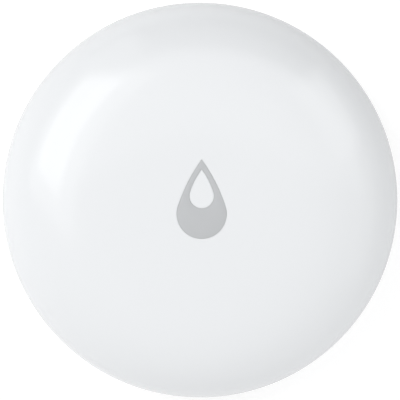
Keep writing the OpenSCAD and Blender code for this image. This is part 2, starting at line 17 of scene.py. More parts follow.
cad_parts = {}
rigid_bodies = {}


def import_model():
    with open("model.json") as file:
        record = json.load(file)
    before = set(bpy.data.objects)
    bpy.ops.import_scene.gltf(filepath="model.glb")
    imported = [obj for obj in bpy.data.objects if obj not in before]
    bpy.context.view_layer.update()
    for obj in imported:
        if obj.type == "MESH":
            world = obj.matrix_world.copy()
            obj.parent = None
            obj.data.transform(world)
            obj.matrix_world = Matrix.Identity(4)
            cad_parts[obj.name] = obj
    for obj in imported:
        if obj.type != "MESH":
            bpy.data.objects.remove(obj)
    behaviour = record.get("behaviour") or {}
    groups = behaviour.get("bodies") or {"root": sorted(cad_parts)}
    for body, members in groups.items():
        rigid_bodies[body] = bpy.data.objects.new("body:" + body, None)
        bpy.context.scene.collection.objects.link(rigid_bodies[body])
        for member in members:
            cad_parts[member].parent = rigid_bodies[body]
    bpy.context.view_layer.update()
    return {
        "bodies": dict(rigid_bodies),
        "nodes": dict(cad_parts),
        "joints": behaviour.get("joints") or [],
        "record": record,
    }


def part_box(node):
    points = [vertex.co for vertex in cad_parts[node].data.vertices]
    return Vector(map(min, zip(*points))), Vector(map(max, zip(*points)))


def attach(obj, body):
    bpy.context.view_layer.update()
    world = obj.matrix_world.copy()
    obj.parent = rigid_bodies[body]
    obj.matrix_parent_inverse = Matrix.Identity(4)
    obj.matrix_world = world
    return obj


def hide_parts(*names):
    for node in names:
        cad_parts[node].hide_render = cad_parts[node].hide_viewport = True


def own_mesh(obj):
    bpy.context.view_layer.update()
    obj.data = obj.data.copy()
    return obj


LOG = logging.getLogger("leak_sensor")
MM = 0.001
# Points closer than this are merged
WELD = 0.4e-6
# Edges sharper than this stay hard
SHARP_ANGLE = math.radians(32)
# Faces whose normal is this upright are level, and shade flat
LEVEL_NORMAL = 1 - 1e-7

Mesh = bmesh.types.BMesh
Edge = bmesh.types.BMEdge
Node = bpy.types.Node
Socket = bpy.types.NodeSocket
Material = bpy.types.Material
Colour = tuple[float, float, float, float]
Point = tuple[float, float]
Place = tuple[float, float, float]


class Body(Enum):
    """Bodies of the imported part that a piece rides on."""

    BASE = "base"
    CAP = "press_cap"


class Marks(Enum):
    """Ways in which a metal surface was worked."""

    TURNED = "turned"
    ROLLED = "rolled"


def linear(code: str) -> Colour:
    """Turns a colour written as six hex digits into scene-linear values.

    Args:
        code: Red, green and blue, such as EEEFF1.

    Returns:
        The linear colour with full alpha.
    """
    parts = [int(code[i:i + 2], 16) / 255 for i in (0, 2, 4)]
    lit = [c / 12.92 if c <= 0.04045 else ((c + 0.055) / 1.055) ** 2.4 for c in parts]
    return lit[0], lit[1], lit[2], 1.0


def grey(tone: float) -> Colour:
    """Gives the neutral colour of a linear tone."""
    return tone, tone, tone, 1.0


# Turned and cut shapes


@dataclass(frozen=True)
class Turn:
    """One corner of a turned profile, with how much of each leg its rounding takes."""

    r: float
    z: float
    cut: float = 0.0


def trace(turns: Sequence[Turn], steps: int = 5) -> list[Turn]:
    """Replaces each rounded corner of a profile by a short curve.

    Args:
        turns: The profile's corners in order.
        steps: Segments in each rounding.

    Returns:
        The profile's points, none of them rounded any more.
    """
    points: list[Turn] = []
    for i, turn in enumerate(turns):
        if turn.cut <= 0 or i in (0, len(turns) - 1):
            points.append(Turn(turn.r, turn.z))
            continue
        corner = Vector((turn.r, turn.z))
        ends = []
        for other in (turns[i - 1], turns[i + 1]):
            leg = Vector((other.r, other.z)) - corner
            ends.append(corner + leg.normalized() * min(turn.cut, leg.length / 2))
        for k in range(steps + 1):
            t = k / steps
            p = ends[0] * (1 - t) ** 2 + corner * 2 * t * (1 - t) + ends[1] * t ** 2
            points.append(Turn(p.x, p.y))
    return points


def spin_profile(
    bm: Mesh,
    turns: Sequence[Turn],
    steps: int,
    axis_at: Point = (0.0, 0.0),
    start: float = 0.0,
    angle: float = math.tau,
) -> None:
    """Turns a profile about a vertical axis into the mesh.

    Args:
        bm: The mesh that gets the surface.
        turns: Points of the profile, as radius and height.
        steps: Segments round the axis.
        axis_at: Where the axis stands.
        start: Angle at which the profile starts.
        angle: How far it turns. A full turn closes on itself.
    """
    out = Vector((math.cos(start), math.sin(start), 0.0))
    foot = Vector((axis_at[0], axis_at[1], 0.0))
    verts = [bm.verts.new(foot + out * t.r + Vector((0.0, 0.0, t.z))) for t in turns]
    edges = [bm.edges.new(pair) for pair in zip(verts, verts[1:])]
    full = math.isclose(angle, math.tau)
    bmesh.ops.spin(bm, geom=verts + edges, cent=foot, axis=(0.0, 0.0, 1.0), angle=angle,
                   steps=steps, use_merge=full)


def weld(bm: Mesh) -> None:
    """Merges doubled points, drops what that leaves loose and turns the faces outwards.

    Args:
        bm: The mesh.
    """
    bmesh.ops.remove_doubles(bm, verts=bm.verts, dist=WELD)
    loose = [v for v in bm.verts if not v.link_faces]
    bmesh.ops.delete(bm, geom=loose, context="VERTS")
    bmesh.ops.recalc_face_normals(bm, faces=bm.faces)


def open_edges(bm: Mesh, z: float) -> list[Edge]:
    """Finds the open edges that lie on a level.

    Args:
        bm: The mesh.
        z: Height of the level.

    Returns:
        Its edges that have one face and both ends at that height.
    """
    level = [e for e in bm.edges if len(e.link_faces) == 1]
    return [e for e in level if all(abs(v.co.z - z) < WELD for v in e.verts)]


def close_level(bm: Mesh, z: float) -> None:
    """Fills a level between all the open edges that lie on it."""
    bmesh.ops.triangle_fill(bm, use_beauty=True, edges=open_edges(bm, z))


def add_loop(bm: Mesh, points: Iterable[Vector]) -> list[Edge]:
    """Adds a closed loop of edges.

    Args:
        bm: The mesh.
        points: Corners of the loop in order.

    Returns:
        The loop's edges.
    """
    verts = [bm.verts.new(p) for p in points]
    return [bm.edges.new((verts[i - 1], verts[i])) for i in range(len(verts))]


def verts_of(geom: Iterable[object]) -> list[bmesh.types.BMVert]:
    """Picks the points out of what an operator gives back."""
    return [part for part in geom if isinstance(part, bmesh.types.BMVert)]


def drop_outline(
    width: float,
    height: float,
    side_r: float,
    lift: float,
    grow: float,
    side_n: int,
    lobe_n: int,
) -> list[Point]:
    """Draws a drop: a round lobe and two long arcs that meet in a tip along +Y.

    Args:
        width: Width of the lobe.
        height: Length from the lobe's foot to the tip.
        side_r: Radius of the long sides.
        lift: How far the lobe's centre stands above the origin.
        grow: Margin added all round.
        side_n: Segments in each side.
        lobe_n: Segments in the lobe.

    Returns:
        The outline's points, from the tip down the left side and back up.
    """
    lobe = width / 2
    tip = height - lobe
    reach = side_r - lobe
    turn = math.asin((tip * tip - lobe * lobe - 2 * reach * lobe) / (2 * tip * reach))
    cx, cy = reach * math.cos(turn), reach * math.sin(turn)
    a_tip = math.pi - math.acos(cx / (side_r + grow))
    a_join = math.pi + turn
    left = []
    for i in range(side_n):
        a = a_tip + (a_join - a_tip) * i / side_n
        left.append((cx + (side_r + grow) * math.cos(a), cy + (side_r + grow) * math.sin(a)))
    bottom = []
    for i in range(lobe_n + 1):
        a = a_join + (math.pi - 2 * turn) * i / lobe_n
        bottom.append(((lobe + grow) * math.cos(a), (lobe + grow) * math.sin(a)))
    right = [(-x, y) for x, y in reversed(left[1:])]
    return [(x, y + lift) for x, y in left + bottom + right]


def make_object(name: str, bm: Mesh, material: Material) -> bpy.types.Object:
    """Puts a finished mesh into the scene.

    Args:
        name: The object's name.
        bm: The mesh, which is freed.
        material: Its material.

    Returns:
        The new object.
    """
    mesh = bpy.data.meshes.new(name)
    bm.to_mesh(mesh)
    bm.free()
    mesh.materials.append(material)
    obj = bpy.data.objects.new(name, mesh)
    bpy.context.scene.collection.objects.link(obj)
    return obj


# Shader groups that several finishes share


@dataclass
class Wiring:
    """Adds nodes to a shader tree and links them."""

    tree: bpy.types.NodeTree

    def feed(self, node: Node, inputs: dict[str | int, object]) -> None:
        """Links or sets inputs of a node.

        Args:
            node: The node.
            inputs: What its inputs take, by name or place: a socket to link or a value.
        """
        for key, value in inputs.items():
            if isinstance(value, Socket):
                self.tree.links.new(value, node.inputs[key])
            else:
                node.inputs[key].default_value = value

    def add(
        self,
        kind: str,
        inputs: dict[str | int, object] | None = None,
        **settings: object,
    ) -> Node:
        """Adds a node.

        Args:
            kind: The node's type.
            inputs: What its inputs take: sockets to link or values.
            settings: Its properties.

        Returns:
            The node.
        """
        node = self.tree.nodes.new(kind)
        for name, value in settings.items():
            setattr(node, name, value)
        self.feed(node, inputs or {})
        return node

    def place(self) -> Socket:
        """Gives the place on the piece, in object coordinates."""
        return self.add("ShaderNodeTexCoord").outputs["Object"]

    def maths(self, operation: str, first: object, second: object = 0.0) -> Socket:
        """Works out a value from one or two others.

        Args:
            operation: Name of the operation, such as MULTIPLY.
            first: A socket or a number.
            second: A socket or a number.

        Returns:
            The result's socket.
        """
        node = self.add("ShaderNodeMath", {0: first, 1: second}, operation=operation)
        return node.outputs[0]

    def spread(self, value: Socket, low: object, high: object) -> Socket:
        """Maps a value from 0 to 1 onto another range.

        Args:
            value: The socket to map.
            low: Result at 0, a socket or a number.
            high: Result at 1, a socket or a number.

        Returns:
            The mapped socket.
        """
        ends = {"Value": value, "To Min": low, "To Max": high}
        return self.add("ShaderNodeMapRange", ends).outputs["Result"]

    def rise(self, value: Socket, first: float, last: float) -> Socket:
        """Eases from 0 to 1 while a value goes between two limits.

        Args:
            value: The socket to follow.
            first: Its value where the result is 0.
            last: Its value where the result is 1.

        Returns:
            The eased socket.
        """
        ends = {"Value": value, "From Min": first, "From Max": last}
        node = self.add("ShaderNodeMapRange", ends, interpolation_type="SMOOTHSTEP")
        return node.outputs["Result"]

    def blend(self, share: Socket, first: Socket, second: Socket) -> Socket:
        """Mixes two shaders, with the share of the second one."""
        node = self.add("ShaderNodeMixShader", {"Fac": share, 1: first, 2: second})
        return node.outputs["Shader"]


def new_group(
    name: str,
    takes: dict[str, str],
    gives: dict[str, str],
) -> tuple[Wiring, dict[str, Socket], Node]:
    """Starts a shader group with named sockets.

    Args:
        name: Name of the group.
        takes: Input names and socket types.
        gives: Output names and socket types.

    Returns:
        The group's wiring, what it is given, by name, and its output node.
    """
    tree = bpy.data.node_groups.new(name, "ShaderNodeTree")
    for labels, way in ((takes, "INPUT"), (gives, "OUTPUT")):
        for label, kind in labels.items():
            tree.interface.new_socket(name=label, in_out=way, socket_type=kind)
    wiring = Wiring(tree)
    given = wiring.add("NodeGroupInput").outputs
    return wiring, {label: given[label] for label in takes}, wiring.add("NodeGroupOutput")


def make_mottle() -> bpy.types.NodeTree:
    """Builds the group that varies a colour softly over a piece.

    Returns:
        A group that takes Colour, Scale and Amount, and gives Colour and Mask.
    """
    wiring, given, result = new_group(
        "soft_mottle",
        {"Colour": "NodeSocketColor", "Scale": "NodeSocketFloat", "Amount": "NodeSocketFloat"},
        {"Colour": "NodeSocketColor", "Mask": "NodeSocketFloat"},
    )
    noise = wiring.add(
        "ShaderNodeTexNoise", {"Vector": wiring.place(), "Scale": given["Scale"], "Detail": 3.0})
    swing = wiring.maths("SUBTRACT", noise.outputs["Fac"], 0.5)
    value = wiring.maths("ADD", wiring.maths("MULTIPLY", swing, given["Amount"]), 1.0)
    tone = wiring.add("ShaderNodeHueSaturation", {"Color": given["Colour"], "Value": value})
    wiring.feed(result, {"Colour": tone.outputs["Color"], "Mask": noise.outputs["Fac"]})
    return wiring.tree


def make_grain() -> bpy.types.NodeTree:
    """Builds the group that gives a moulded surface its fine texture.

    Returns:
        A group that takes Scale and gives Height.
    """
    wiring, given, result = new_group(
        "moulded_grain", {"Scale": "NodeSocketFloat"}, {"Height": "NodeSocketFloat"})
    spot = {"Vector": wiring.place(), "Scale": given["Scale"]}
    fine = wiring.add("ShaderNodeTexNoise", {**spot, "Detail": 1.0})
    pits = wiring.add("ShaderNodeTexVoronoi", spot, feature="SMOOTH_F1")
    both = wiring.maths("ADD", fine.outputs["Fac"], pits.outputs["Distance"])
    wiring.feed(result, {"Height": wiring.maths("MULTIPLY", both, 0.5)})
    return wiring.tree


def make_turned() -> bpy.types.NodeTree:
    """Builds the group that draws the fine rings of a turned piece.

    Returns:
        A group that takes Vector, centred on the axis, and Scale, and gives Mask.
    """
    wiring, given, result = new_group(
        "turning_marks",
        {"Vector": "NodeSocketVector", "Scale": "NodeSocketFloat"},
        {"Mask": "NodeSocketFloat"},
    )
    split = wiring.add("ShaderNodeSeparateXYZ", {"Vector": given["Vector"]}).outputs
    square = [wiring.maths("MULTIPLY", split[k], split[k]) for k in ("X", "Y")]
    radius = wiring.maths("SQRT", wiring.maths("ADD", *square))
    flat = wiring.add("ShaderNodeCombineXYZ", {"X": radius, "Y": split["Z"]}).outputs["Vector"]
    noise = wiring.add(
        "ShaderNodeTexNoise", {"Vector": flat, "Scale": given["Scale"], "Detail": 2.0})
    wiring.feed(result, {"Mask": noise.outputs["Fac"]})
    return wiring.tree


def make_plated_ends() -> bpy.types.NodeTree:
    """Builds the group that finds the plated ends of a row of chips along X.

    Returns:
        A group that takes Start, Pitch and Half, and gives Mask, 1 on the ends.
    """
    wiring, given, result = new_group(
        "plated_ends",
        {"Start": "NodeSocketFloat", "Pitch": "NodeSocketFloat", "Half": "NodeSocketFloat"},
        {"Mask": "NodeSocketFloat"},
    )
    split = wiring.add("ShaderNodeSeparateXYZ", {"Vector": wiring.place()}).outputs
    from_start = wiring.maths("SUBTRACT", split["X"], given["Start"])
    along = wiring.maths("DIVIDE", from_start, given["Pitch"])
    off_centre = wiring.maths("SUBTRACT", along, wiring.maths("ROUND", along))
    reach = wiring.maths("MULTIPLY", wiring.maths("ABSOLUTE", off_centre), given["Pitch"])
    wiring.feed(result, {"Mask": wiring.maths("GREATER_THAN", reach, given["Half"])})
    return wiring.tree


@dataclass(frozen=True)
class Groups:
    """The shader groups, each built once."""

    mottle: bpy.types.NodeTree = field(default_factory=make_mottle)
    grain: bpy.types.NodeTree = field(default_factory=make_grain)
    turned: bpy.types.NodeTree = field(default_factory=make_turned)
    plated: bpy.types.NodeTree = field(default_factory=make_plated_ends)


# Finishes


def new_material(name: str) -> tuple[Material, Wiring, Node]:
    """Starts a material.

    Args:
        name: Its name.

    Returns:
        The material, its wiring and its shader.
    """
    material = bpy.data.materials.new(name)
    material.use_nodes = True
    return material, Wiring(material.node_tree), material.node_tree.nodes["Principled BSDF"]


@dataclass
class Bench:
    """A new material with its shader, ready to be wired."""

    name: str
    groups: Groups

    def __post_init__(self) -> None:
        """Starts the material."""
        self.material, self.wiring, self.shader = new_material(self.name)

    def feed(self, inputs: dict[str, object]) -> None:
        """Links or sets inputs of the shader."""
        self.wiring.feed(self.shader, inputs)

    def group(self, tree: bpy.types.NodeTree, inputs: dict[str, object]) -> Node:
        """Places a shared group and sets or links its inputs."""
        return self.wiring.add("ShaderNodeGroup", inputs, node_tree=tree)

    def gloss(self, mask: Socket, roughness: float, swing: float) -> None:
        """Varies the shader's roughness by a mask, as far to each side as the swing says."""
        self.feed({"Roughness": self.wiring.spread(mask, roughness - swing, roughness + swing)})

    def overlay(self, mask: Socket, under: Socket, code: str) -> None:
        """Colours the shader, with a second colour over the first where a mask is 1.

        Args:
            mask: Where the second colour lies.
            under: The first colour.
            code: The second colour, as six hex digits.
        """
        layers = {"Factor": mask, "A": under, "B": linear(code)}
        lay = self.wiring.add("ShaderNodeMix", layers, data_type="RGBA")
        self.feed({"Base Color": lay.outputs["Result"]})

    def bump(self, height: Socket, depth: float) -> None:
        """Feeds a height into the shader's normal.

        Args:
            height: Socket from 0 to 1.
            depth: Real depth of the texture.
        """
        relief = {"Strength": 1.0, "Distance": depth, "Height": height}
        node = self.wiring.add("ShaderNodeBump", relief)
        self.feed({"Normal": node.outputs["Normal"]})

    def centred(self, middle: float) -> Socket:
        """Gives the place on a piece, with a pair of pieces folded onto one axis.

        Args:
            middle: Distance of each piece's axis from the centre, along X.

        Returns:
            Object coordinates about that axis.
        """
        fold = self.wiring.add(
            "ShaderNodeVectorMath", {0: self.wiring.place()}, operation="ABSOLUTE")
        shift = {"Vector": fold.outputs["Vector"], "Location": (-middle, 0.0, 0.0)}
        return self.wiring.add("ShaderNodeMapping", shift).outputs["Vector"]


@dataclass(frozen=True)
class Finish:
    """A surface with a softly varied colour and gloss."""

    colour: str
    roughness: float
    roughness_swing: float = 0.04
    mottle: float = 0.03
    mottle_scale: float = 180.0

    def build(self, name: str, groups: Groups) -> Material:
        """Makes the material.

        Args:
            name: Its name.
            groups: The shared shader groups.

        Returns:
            The material.
        """
        bench = Bench(name, groups)
        own = {"Colour": linear(self.colour), "Scale": self.mottle_scale, "Amount": self.mottle}
        self.dress(bench, bench.group(groups.mottle, own))
        return bench.material

    def dress(self, bench: Bench, tone: Node) -> None:
        """Wires the shader.

        Args:
            bench: The new material.
            tone: The group that gives the finish's colour and its mask.
        """
        bench.feed({"Base Color": tone.outputs["Colour"]})
        bench.gloss(tone.outputs["Mask"], self.roughness, self.roughness_swing)


@dataclass(frozen=True, kw_only=True)
class Plastic(Finish):
    """A moulded plastic, rubber or resin surface."""

    grain: float = 0.0
    grain_scale: float = 6000.0
    ior: float = 1.47
    clear: bool = False

    def dress(self, bench: Bench, tone: Node) -> None:
        """Wires the shader, with the mould's texture where there is one.

        Args:
            bench: The new material.
            tone: The group that gives the finish's colour and its mask.
        """
        super().dress(bench, tone)
        bench.feed({"IOR": self.ior, "Transmission Weight": float(self.clear)})
        if self.grain > 0:
            texture = bench.group(bench.groups.grain, {"Scale": self.grain_scale})
            bench.bump(texture.outputs["Height"], self.grain)


@dataclass(frozen=True, kw_only=True)
class Silicone(Plastic):
    """A soft rubber ring with a dusty bloom."""

    roughness: float = 0.575
    roughness_swing: float = 0.125
    mottle: float = 0.12
    mottle_scale: float = 900.0
    grain: float = 0.004 * MM
    grain_scale: float = 9000.0
    ior: float = 1.41


@dataclass(frozen=True, kw_only=True)
class Metal(Finish):
    """A bare or plated metal, with the marks of how it was worked.

    Of a pair of turned pieces, middle is the distance of each axis from the centre.
    """

    mottle: float = 0.08
    mottle_scale: float = 420.0
    marks: Marks = Marks.ROLLED
    middle: float = 0.0
    mark_scale: float = 9000.0
    mark_depth: float = 0.002 * MM

    def dress(self, bench: Bench, tone: Node) -> None:
        """Wires the shader, with rings where the metal was turned.

        Args:
            bench: The new material.
            tone: The group that gives the finish's colour and its mask.
        """
        bench.feed({"Metallic": 1.0, "Base Color": tone.outputs["Colour"]})
        mask = tone.outputs["Mask"]
        if self.marks is Marks.TURNED:
            axis = bench.centred(self.middle)
            rings = bench.group(bench.groups.turned, {"Vector": axis, "Scale": self.mark_scale})
            mask = rings.outputs["Mask"]
            bench.bump(mask, self.mark_depth)
        bench.gloss(mask, self.roughness, self.roughness_swing)


@dataclass(frozen=True, kw_only=True)
class SolderMask(Finish):
    """The lacquer of a circuit board, with copper tracks showing under it."""

    roughness: float = 0.28
    roughness_swing: float = 0.06
    mottle: float = 0.15
    mottle_scale: float = 300.0
    track_colour: str
    track_scale: float = 330.0
    track_width: float = 0.06
    track_rise: float = 0.02 * MM

    def dress(self, bench: Bench, tone: Node) -> None:
        """Wires the shader, with the tracks raised and paler than the lacquer.

        Args:
            bench: The new material.
            tone: The group that gives the lacquer's colour and its mask.
        """
        super().dress(bench, tone)
        spot = {"Vector": bench.wiring.place(), "Scale": self.track_scale}
        cells = bench.wiring.add("ShaderNodeTexVoronoi", spot, feature="DISTANCE_TO_EDGE",
                                 distance="MANHATTAN")
        track = bench.wiring.maths("LESS_THAN", cells.outputs["Distance"], self.track_width)
        bench.overlay(track, tone.outputs["Colour"], self.track_colour)
        bench.bump(track, self.track_rise)


@dataclass(frozen=True, kw_only=True)
class ChipRow(Finish):
    """Small chips in rows along X, with plated ends.

    A chip's middle lies at start, and half is how far it is bare to each side of that.
    """

    roughness: float = 0.4
    roughness_swing: float = 0.1
    mottle: float = 0.2
    mottle_scale: float = 2500.0
    end_colour: str = "D5D3CC"
    start: float
    pitch: float
    half: float = 0.5 * MM

    def dress(self, bench: Bench, tone: Node) -> None:
        """Wires the shader, with metal on the chips' ends.

        Args:
            bench: The new material.
            tone: The group that gives the chips' colour and its mask.
        """
        super().dress(bench, tone)
        row = {"Start": self.start, "Pitch": self.pitch, "Half": self.half}
        ends = bench.group(bench.groups.plated, row).outputs["Mask"]
        bench.overlay(ends, tone.outputs["Colour"], self.end_colour)
        bench.feed({"Metallic": ends})


def make_finishes(probe_x: float) -> dict[str, Finish]:
    """Lists the finish of each material slot.

    Args:
        probe_x: Distance of the probes' axes from the centre.

    Returns:
        The finishes by slot. The resistors have one of their own.
    """
    return {
        "cap_white": Plastic("EBEDEF", 0.12, roughness_swing=0.015, mottle=0.006,
                             mottle_scale=60.0, grain=0.0006 * MM, grain_scale=1400.0),
        "mark_grey": Plastic("BEC0C2", 0.42, mottle=0.02, mottle_scale=900.0),
        "base_white": Plastic("E9EAEC", 0.42, mottle=0.02, grain=0.006 * MM, grain_scale=5200.0),
        "chassis_white": Plastic("D9DBDE", 0.45, grain=0.004 * MM),
        "silicone": Silicone("C8CCD0"),
        "dark_silicone": Silicone("2B2C2E"),
        "probe_steel": Metal("C9CBCE", 0.2, 0.06, marks=Marks.TURNED, middle=probe_x),
        "insert_brass": Metal("C9A24E", 0.28, 0.084, marks=Marks.TURNED, middle=probe_x),
        "board_green": SolderMask("0C5A34", track_colour="1E7A4A"),
        "small_steel": Metal("C2C4C7", 0.3, 0.09),
        "cell_steel": Metal("CDCFD2", 0.24, 0.072, marks=Marks.TURNED, mark_scale=2600.0),
        "holder_black": Plastic("232426", 0.5, mottle=0.1, grain=0.006 * MM),
        "contact_nickel": Metal("D2CFC6", 0.22, 0.066),
        "switch_grey": Plastic("3A3B3D", 0.5, mottle=0.1, grain=0.005 * MM),
        "chip_black": Plastic("1C1D1F", 0.55, mottle=0.12, grain=0.006 * MM, grain_scale=9000.0),
        "antenna_gold": Metal("DDB964", 0.25, 0.075),
        "led_cream": Plastic("EDE3B4", 0.2, mottle=0.06),
        "guide_clear": Plastic("F2F7FA", 0.08, mottle=0.04, mottle_scale=300.0, ior=1.49,
                               clear=True),
        "capacitor_tan": ChipRow("9C7650", start=-9.0 * MM, pitch=2.6 * MM),
        "resistor_black": ChipRow("1A1B1D", start=-3.4 * MM, pitch=2.4 * MM),
    }


# The part's own sizes


@dataclass(frozen=True)
class PuckOutline:
    """The puck's outer shape: a flat-topped dome over a rounded lower side.

    The equator is its widest ring, and the face is the flat underside between the feet.
    """

    body_r: float
    top_z: float
    rim_z: float
    seam_z: float
    equator_z: float = 5.6 * MM
    crown_power: float = 4.0
    face_r: float = 20.5 * MM
    face_z: float = 0.6 * MM

    @classmethod
    def from_frame(cls) -> "PuckOutline":
        """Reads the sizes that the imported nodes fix."""
        low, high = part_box("cap")
        return cls(body_r=high.x, top_z=high.z, rim_z=low.z, seam_z=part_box("base_cover")[1].z)

    def crown_z(self, r: float) -> float:
        """Height of the crown at a radius."""
        rise = self.top_z - self.equator_z
        return self.equator_z + rise * math.sqrt(1 - (r / self.body_r) ** self.crown_power)

    def on_crown(self, points: Iterable[Point]) -> list[Vector]:
        """Lays points of a plan onto the crown."""
        return [Vector((x, y, self.crown_z(math.hypot(x, y)))) for x, y in points]

    def dome(self, r_end: float, r_from: float, z: float, rise: float, steps: int) -> list[Turn]:
        """Points of a dome, from a radius near its top out to its rim.

        Args:
            r_end: Radius of the rim.
            r_from: Radius at which the points start.
            z: Height of the rim.
            rise: Height of the dome over the rim.
            steps: Segments between the two.

        Returns:
            The profile's points.
        """
        first = math.asin((r_from / r_end) ** (self.crown_power / 2))
        points = []
        for i in range(steps + 1):
            t = first + (math.pi / 2 - first) * i / steps
            r = r_end * math.sin(t) ** (2 / self.crown_power)
            points.append(Turn(r, z + rise * math.cos(t)))
        return points

    def side(self, z_from: float, z_to: float, steps: int) -> list[Turn]:
        """Points of the lower side between two heights, from a quarter ellipse.

        Args:
            z_from: First height.
            z_to: Last height.
            steps: Segments between the two.

        Returns:
            The profile's points.
        """
        depth = self.equator_z - self.face_z
        ends = [math.acos((self.equator_z - z) / depth) for z in (z_from, z_to)]
        points = []
        for i in range(steps + 1):
            t = ends[0] + (ends[1] - ends[0]) * i / steps
            r = self.face_r + (self.body_r - self.face_r) * math.sin(t)
            points.append(Turn(r, self.equator_z - depth * math.cos(t)))
        return points


@dataclass(frozen=True)
class DropPlan:
    """The drop in plan: a grey drop with a small drop, the window, left open in it.

    The lead is the way from the drop's tip down to the window's tip.
    """

    width: float
    height: float
    depth: float
    side_r: float = 21.0 * MM
    window_w: float = 3.1 * MM
    window_h: float = 4.9 * MM
    window_side_r: float = 10.0 * MM
    window_lead: float = 1.25 * MM
    side_n: int = 50
    lobe_n: int = 80

    @classmethod
    def from_frame(cls) -> "DropPlan":
        """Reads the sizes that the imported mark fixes."""
        low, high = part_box("drop_mark")
        return cls(width=high.x - low.x, height=high.y - low.y, depth=high.z - low.z)

    def outer(self, grow: float) -> list[Point]:
        """Outline of the drop, centred in height on the origin."""
        return drop_outline(self.width, self.height, self.side_r, (self.width - self.height) / 2,
                            grow, self.side_n, self.lobe_n)

    def window(self, grow: float) -> list[Point]:
        """Outline of the small drop inside it."""
        lift = self.height / 2 - self.window_lead - self.window_h + self.window_w / 2
        return drop_outline(self.window_w, self.window_h, self.window_side_r, lift,
                            grow, self.side_n // 2, self.lobe_n // 2)


# Pieces


@dataclass
class Workshop:
    """Turns finished meshes into pieces of the object."""

    finishes: dict[str, Finish]
    groups: Groups
    materials: dict[str, Material] = field(default_factory=dict)

    def material(self, name: str) -> Material:
        """Gives a finish's material, made at its first use.

        Args:
            name: Name of the finish.

        Returns:
            The material.
        """
        if name not in self.materials:
            self.materials[name] = self.finishes[name].build(name, self.groups)
        return self.materials[name]

    def piece(
        self,
        name: str,
        bm: Mesh,
        finish: str,
        body: Body,
        nodes: Sequence[str],
    ) -> bpy.types.Object:
        """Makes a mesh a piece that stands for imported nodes.

        Args:
            name: The piece's name.
            bm: Its finished mesh, which is freed.
            finish: Material slot that it takes its finish from.
            body: Body that it rides on.
            nodes: Nodes that it stands for.

        Returns:
            The new object.
        """
        bm.normal_update()
        for face in bm.faces:
            face.smooth = abs(face.normal.z) < LEVEL_NORMAL
        obj = make_object(name, bm, self.material(finish))
        obj.data.set_sharp_from_angle(angle=SHARP_ANGLE)
        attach(obj, body.value)
        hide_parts(*nodes)
        LOG.info("%s: %d faces", name, len(obj.data.polygons))
        return obj


